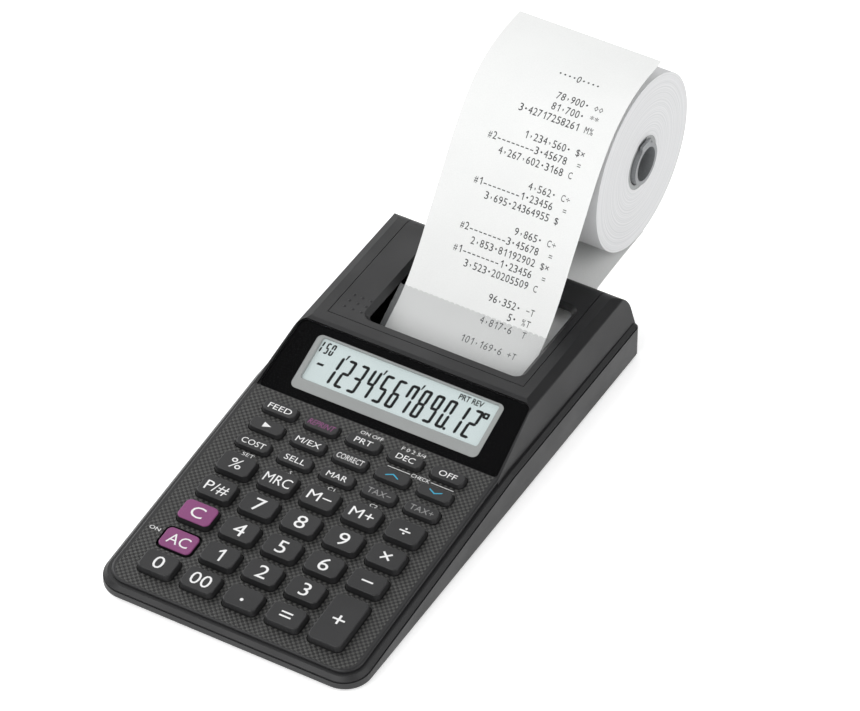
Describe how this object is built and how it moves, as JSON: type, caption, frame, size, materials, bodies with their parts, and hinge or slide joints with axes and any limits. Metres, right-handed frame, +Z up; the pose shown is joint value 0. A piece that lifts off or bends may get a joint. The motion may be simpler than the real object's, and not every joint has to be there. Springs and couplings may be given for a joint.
{
  "type": "desk calculator",
  "caption": "Printing desk calculator: sloped key panel, tilted display window, printer housing with a lift-off cover, and a paper roll on a rear arm whose strip feeds up through the cover.",
  "frame": {"origin": "centre of the whole object's box, on the face that the rubber feet rest on", "axes": "+X to the right of the person using the keys, +Y from the front edge to the paper roll, +Z up from the table"},
  "size_m": [0.104, 0.264, 0.0958],
  "materials": {
    "case_black": "moulded black plastic, satin, textured on the key panel",
    "key_black": "moulded dark grey keys, satin",
    "key_magenta": "moulded magenta keys, satin",
    "window_clear": "clear gloss sheet with a printed black border",
    "lcd_grey": "grey frame and liquid crystal panel",
    "cutter_smoke": "clear smoked plastic, gloss",
    "holder_grey": "moulded grey plastic, satin",
    "core_grey": "hard paper core, matt",
    "paper_white": "uncoated white roll paper",
    "frame_black": "moulded black printer frame",
    "roller_rubber": "ground rubber platen",
    "motor_steel": "plated motor can",
    "gear_white": "moulded white gear",
    "ink_felt": "inked felt",
    "board_green": "glass-fibre circuit board",
    "sheet_rubber": "grey silicone contact sheet",
    "battery_shell": "printed battery jacket",
    "foot_rubber": "black rubber feet",
    "screw_steel": "zinc-plated screws"
  },
  "bodies": {
    "case": {"bottom_case": "case_black", "top_case": "case_black", "display_window": "window_clear", "lcd_module": "lcd_grey", "paper_cutter": "cutter_smoke", "roll_holder": "holder_grey", "paper_tape": "paper_white", "printer_frame": "frame_black", "printer_motor": "motor_steel", "circuit_board": "board_green", "key_contact_sheet": "sheet_rubber", "batteries": "battery_shell", "rubber_feet": "foot_rubber", "case_screws": "screw_steel"},
    "cover": {"printer_cover": "case_black"},
    "door": {"battery_door": "case_black"},
    "roll": {"paper_roll": "paper_white", "roll_core": "core_grey"},
    "platen": {"platen_roller": "roller_rubber"},
    "pinion": {"motor_pinion": "gear_white"},
    "inker": {"ink_roller": "ink_felt"},
    "b_key_0": {"key_0": "key_black"},
    "b_key_00": {"key_00": "key_black"},
    "b_key_1": {"key_1": "key_black"},
    "b_key_2": {"key_2": "key_black"},
    "b_key_3": {"key_3": "key_black"},
    "b_key_4": {"key_4": "key_black"},
    "b_key_5": {"key_5": "key_black"},
    "b_key_6": {"key_6": "key_black"},
    "b_key_7": {"key_7": "key_black"},
    "b_key_8": {"key_8": "key_black"},
    "b_key_9": {"key_9": "key_black"},
    "b_key_all_clear": {"key_all_clear": "key_magenta"},
    "b_key_check_down": {"key_check_down": "key_black"},
    "b_key_check_up": {"key_check_up": "key_black"},
    "b_key_clear": {"key_clear": "key_magenta"},
    "b_key_correct": {"key_correct": "key_black"},
    "b_key_cost": {"key_cost": "key_black"},
    "b_key_decimal": {"key_decimal": "key_black"},
    "b_key_divide": {"key_divide": "key_black"},
    "b_key_equals": {"key_equals": "key_black"},
    "b_key_feed": {"key_feed": "key_black"},
    "b_key_margin": {"key_margin": "key_black"},
    "b_key_memory_exchange": {"key_memory_exchange": "key_black"},
    "b_key_memory_minus": {"key_memory_minus": "key_black"},
    "b_key_memory_plus": {"key_memory_plus": "key_black"},
    "b_key_memory_recall": {"key_memory_recall": "key_black"},
    "b_key_minus": {"key_minus": "key_black"},
    "b_key_multiply": {"key_multiply": "key_black"},
    "b_key_non_add": {"key_non_add": "key_black"},
    "b_key_off": {"key_off": "key_black"},
    "b_key_percent": {"key_percent": "key_black"},
    "b_key_plus": {"key_plus": "key_black"},
    "b_key_point": {"key_point": "key_black"},
    "b_key_print": {"key_print": "key_black"},
    "b_key_reprint": {"key_reprint": "key_black"},
    "b_key_right_shift": {"key_right_shift": "key_black"},
    "b_key_sell": {"key_sell": "key_black"},
    "b_key_tax_minus": {"key_tax_minus": "key_black"},
    "b_key_tax_plus": {"key_tax_plus": "key_black"}
  },
  "joints": [
    {"name": "cover_slide", "type": "slide", "parent": "case", "child": "cover", "axis": [0, 1, 0], "range_m": [0, 0.004]},
    {"name": "battery_door_slide", "type": "slide", "parent": "case", "child": "door", "axis": [0, 1, 0], "range_m": [0, 0.012]},
    {"name": "roll_spin", "type": "hinge", "parent": "case", "child": "roll", "pos_m": [0.0055, 0.09825, 0.0583], "axis": [1, 0, 0], "continuous": true},
    {"name": "platen_spin", "type": "hinge", "parent": "case", "child": "platen", "pos_m": [0.0055, 0.00595, 0.00868], "axis": [1, 0, 0], "continuous": true},
    {"name": "pinion_spin", "type": "hinge", "parent": "case", "child": "pinion", "pos_m": [-0.0287, 0.00974, 0.01524], "axis": [1, 0, 0], "continuous": true},
    {"name": "inker_spin", "type": "hinge", "parent": "case", "child": "inker", "pos_m": [0.0055, -0.00685, 0.0158], "axis": [1, 0, 0], "continuous": true},
    {"name": "press_0", "type": "slide", "parent": "case", "child": "b_key_0", "axis": [0, 0.0991, -0.9951], "range_m": [0, 0.0009], "stiffness_N_per_m": 500, "springref_m": -0.0006},
    {"name": "press_00", "type": "slide", "parent": "case", "child": "b_key_00", "axis": [0, 0.0991, -0.9951], "range_m": [0, 0.0009], "stiffness_N_per_m": 500, "springref_m": -0.0006},
    {"name": "press_1", "type": "slide", "parent": "case", "child": "b_key_1", "axis": [0, 0.0991, -0.9951], "range_m": [0, 0.0009], "stiffness_N_per_m": 500, "springref_m": -0.0006},
    {"name": "press_2", "type": "slide", "parent": "case", "child": "b_key_2", "axis": [0, 0.0991, -0.9951], "range_m": [0, 0.0009], "stiffness_N_per_m": 500, "springref_m": -0.0006},
    {"name": "press_3", "type": "slide", "parent": "case", "child": "b_key_3", "axis": [0, 0.0991, -0.9951], "range_m": [0, 0.0009], "stiffness_N_per_m": 500, "springref_m": -0.0006},
    {"name": "press_4", "type": "slide", "parent": "case", "child": "b_key_4", "axis": [0, 0.0991, -0.9951], "range_m": [0, 0.0009], "stiffness_N_per_m": 500, "springref_m": -0.0006},
    {"name": "press_5", "type": "slide", "parent": "case", "child": "b_key_5", "axis": [0, 0.0991, -0.9951], "range_m": [0, 0.0009], "stiffness_N_per_m": 500, "springref_m": -0.0006},
    {"name": "press_6", "type": "slide", "parent": "case", "child": "b_key_6", "axis": [0, 0.0991, -0.9951], "range_m": [0, 0.0009], "stiffness_N_per_m": 500, "springref_m": -0.0006},
    {"name": "press_7", "type": "slide", "parent": "case", "child": "b_key_7", "axis": [0, 0.0991, -0.9951], "range_m": [0, 0.0009], "stiffness_N_per_m": 500, "springref_m": -0.0006},
    {"name": "press_8", "type": "slide", "parent": "case", "child": "b_key_8", "axis": [0, 0.0991, -0.9951], "range_m": [0, 0.0009], "stiffness_N_per_m": 500, "springref_m": -0.0006},
    {"name": "press_9", "type": "slide", "parent": "case", "child": "b_key_9", "axis": [0, 0.0991, -0.9951], "range_m": [0, 0.0009], "stiffness_N_per_m": 500, "springref_m": -0.0006},
    {"name": "press_all_clear", "type": "slide", "parent": "case", "child": "b_key_all_clear", "axis": [0, 0.0991, -0.9951], "range_m": [0, 0.0009], "stiffness_N_per_m": 500, "springref_m": -0.0006},
    {"name": "press_check_down", "type": "slide", "parent": "case", "child": "b_key_check_down", "axis": [0, 0.0991, -0.9951], "range_m": [0, 0.0009], "stiffness_N_per_m": 500, "springref_m": -0.0006},
    {"name": "press_check_up", "type": "slide", "parent": "case", "child": "b_key_check_up", "axis": [0, 0.0991, -0.9951], "range_m": [0, 0.0009], "stiffness_N_per_m": 500, "springref_m": -0.0006},
    {"name": "press_clear", "type": "slide", "parent": "case", "child": "b_key_clear", "axis": [0, 0.0991, -0.9951], "range_m": [0, 0.0009], "stiffness_N_per_m": 500, "springref_m": -0.0006},
    {"name": "press_correct", "type": "slide", "parent": "case", "child": "b_key_correct", "axis": [0, 0.0991, -0.9951], "range_m": [0, 0.0009], "stiffness_N_per_m": 500, "springref_m": -0.0006},
    {"name": "press_cost", "type": "slide", "parent": "case", "child": "b_key_cost", "axis": [0, 0.0991, -0.9951], "range_m": [0, 0.0009], "stiffness_N_per_m": 500, "springref_m": -0.0006},
    {"name": "press_decimal", "type": "slide", "parent": "case", "child": "b_key_decimal", "axis": [0, 0.0991, -0.9951], "range_m": [0, 0.0009], "stiffness_N_per_m": 500, "springref_m": -0.0006},
    {"name": "press_divide", "type": "slide", "parent": "case", "child": "b_key_divide", "axis": [0, 0.0991, -0.9951], "range_m": [0, 0.0009], "stiffness_N_per_m": 500, "springref_m": -0.0006},
    {"name": "press_equals", "type": "slide", "parent": "case", "child": "b_key_equals", "axis": [0, 0.0991, -0.9951], "range_m": [0, 0.0009], "stiffness_N_per_m": 500, "springref_m": -0.0006},
    {"name": "press_feed", "type": "slide", "parent": "case", "child": "b_key_feed", "axis": [0, 0.0991, -0.9951], "range_m": [0, 0.0009], "stiffness_N_per_m": 500, "springref_m": -0.0006},
    {"name": "press_margin", "type": "slide", "parent": "case", "child": "b_key_margin", "axis": [0, 0.0991, -0.9951], "range_m": [0, 0.0009], "stiffness_N_per_m": 500, "springref_m": -0.0006},
    {"name": "press_memory_exchange", "type": "slide", "parent": "case", "child": "b_key_memory_exchange", "axis": [0, 0.0991, -0.9951], "range_m": [0, 0.0009], "stiffness_N_per_m": 500, "springref_m": -0.0006},
    {"name": "press_memory_minus", "type": "slide", "parent": "case", "child": "b_key_memory_minus", "axis": [0, 0.0991, -0.9951], "range_m": [0, 0.0009], "stiffness_N_per_m": 500, "springref_m": -0.0006},
    {"name": "press_memory_plus", "type": "slide", "parent": "case", "child": "b_key_memory_plus", "axis": [0, 0.0991, -0.9951], "range_m": [0, 0.0009], "stiffness_N_per_m": 500, "springref_m": -0.0006},
    {"name": "press_memory_recall", "type": "slide", "parent": "case", "child": "b_key_memory_recall", "axis": [0, 0.0991, -0.9951], "range_m": [0, 0.0009], "stiffness_N_per_m": 500, "springref_m": -0.0006},
    {"name": "press_minus", "type": "slide", "parent": "case", "child": "b_key_minus", "axis": [0, 0.0991, -0.9951], "range_m": [0, 0.0009], "stiffness_N_per_m": 500, "springref_m": -0.0006},
    {"name": "press_multiply", "type": "slide", "parent": "case", "child": "b_key_multiply", "axis": [0, 0.0991, -0.9951], "range_m": [0, 0.0009], "stiffness_N_per_m": 500, "springref_m": -0.0006},
    {"name": "press_non_add", "type": "slide", "parent": "case", "child": "b_key_non_add", "axis": [0, 0.0991, -0.9951], "range_m": [0, 0.0009], "stiffness_N_per_m": 500, "springref_m": -0.0006},
    {"name": "press_off", "type": "slide", "parent": "case", "child": "b_key_off", "axis": [0, 0.0991, -0.9951], "range_m": [0, 0.0009], "stiffness_N_per_m": 500, "springref_m": -0.0006},
    {"name": "press_percent", "type": "slide", "parent": "case", "child": "b_key_percent", "axis": [0, 0.0991, -0.9951], "range_m": [0, 0.0009], "stiffness_N_per_m": 500, "springref_m": -0.0006},
    {"name": "press_plus", "type": "slide", "parent": "case", "child": "b_key_plus", "axis": [0, 0.0991, -0.9951], "range_m": [0, 0.0009], "stiffness_N_per_m": 500, "springref_m": -0.0006},
    {"name": "press_point", "type": "slide", "parent": "case", "child": "b_key_point", "axis": [0, 0.0991, -0.9951], "range_m": [0, 0.0009], "stiffness_N_per_m": 500, "springref_m": -0.0006},
    {"name": "press_print", "type": "slide", "parent": "case", "child": "b_key_print", "axis": [0, 0.0991, -0.9951], "range_m": [0, 0.0009], "stiffness_N_per_m": 500, "springref_m": -0.0006},
    {"name": "press_reprint", "type": "slide", "parent": "case", "child": "b_key_reprint", "axis": [0, 0.0991, -0.9951], "range_m": [0, 0.0009], "stiffness_N_per_m": 500, "springref_m": -0.0006},
    {"name": "press_right_shift", "type": "slide", "parent": "case", "child": "b_key_right_shift", "axis": [0, 0.0991, -0.9951], "range_m": [0, 0.0009], "stiffness_N_per_m": 500, "springref_m": -0.0006},
    {"name": "press_sell", "type": "slide", "parent": "case", "child": "b_key_sell", "axis": [0, 0.0991, -0.9951], "range_m": [0, 0.0009], "stiffness_N_per_m": 500, "springref_m": -0.0006},
    {"name": "press_tax_minus", "type": "slide", "parent": "case", "child": "b_key_tax_minus", "axis": [0, 0.0991, -0.9951], "range_m": [0, 0.0009], "stiffness_N_per_m": 500, "springref_m": -0.0006},
    {"name": "press_tax_plus", "type": "slide", "parent": "case", "child": "b_key_tax_plus", "axis": [0, 0.0991, -0.9951], "range_m": [0, 0.0009], "stiffness_N_per_m": 500, "springref_m": -0.0006}
  ],
  "couplings": [
    {"joint": "platen_spin", "follows": "roll_spin", "ratio": 7.8605},
    {"joint": "pinion_spin", "follows": "roll_spin", "ratio": -15.721}
  ]
}
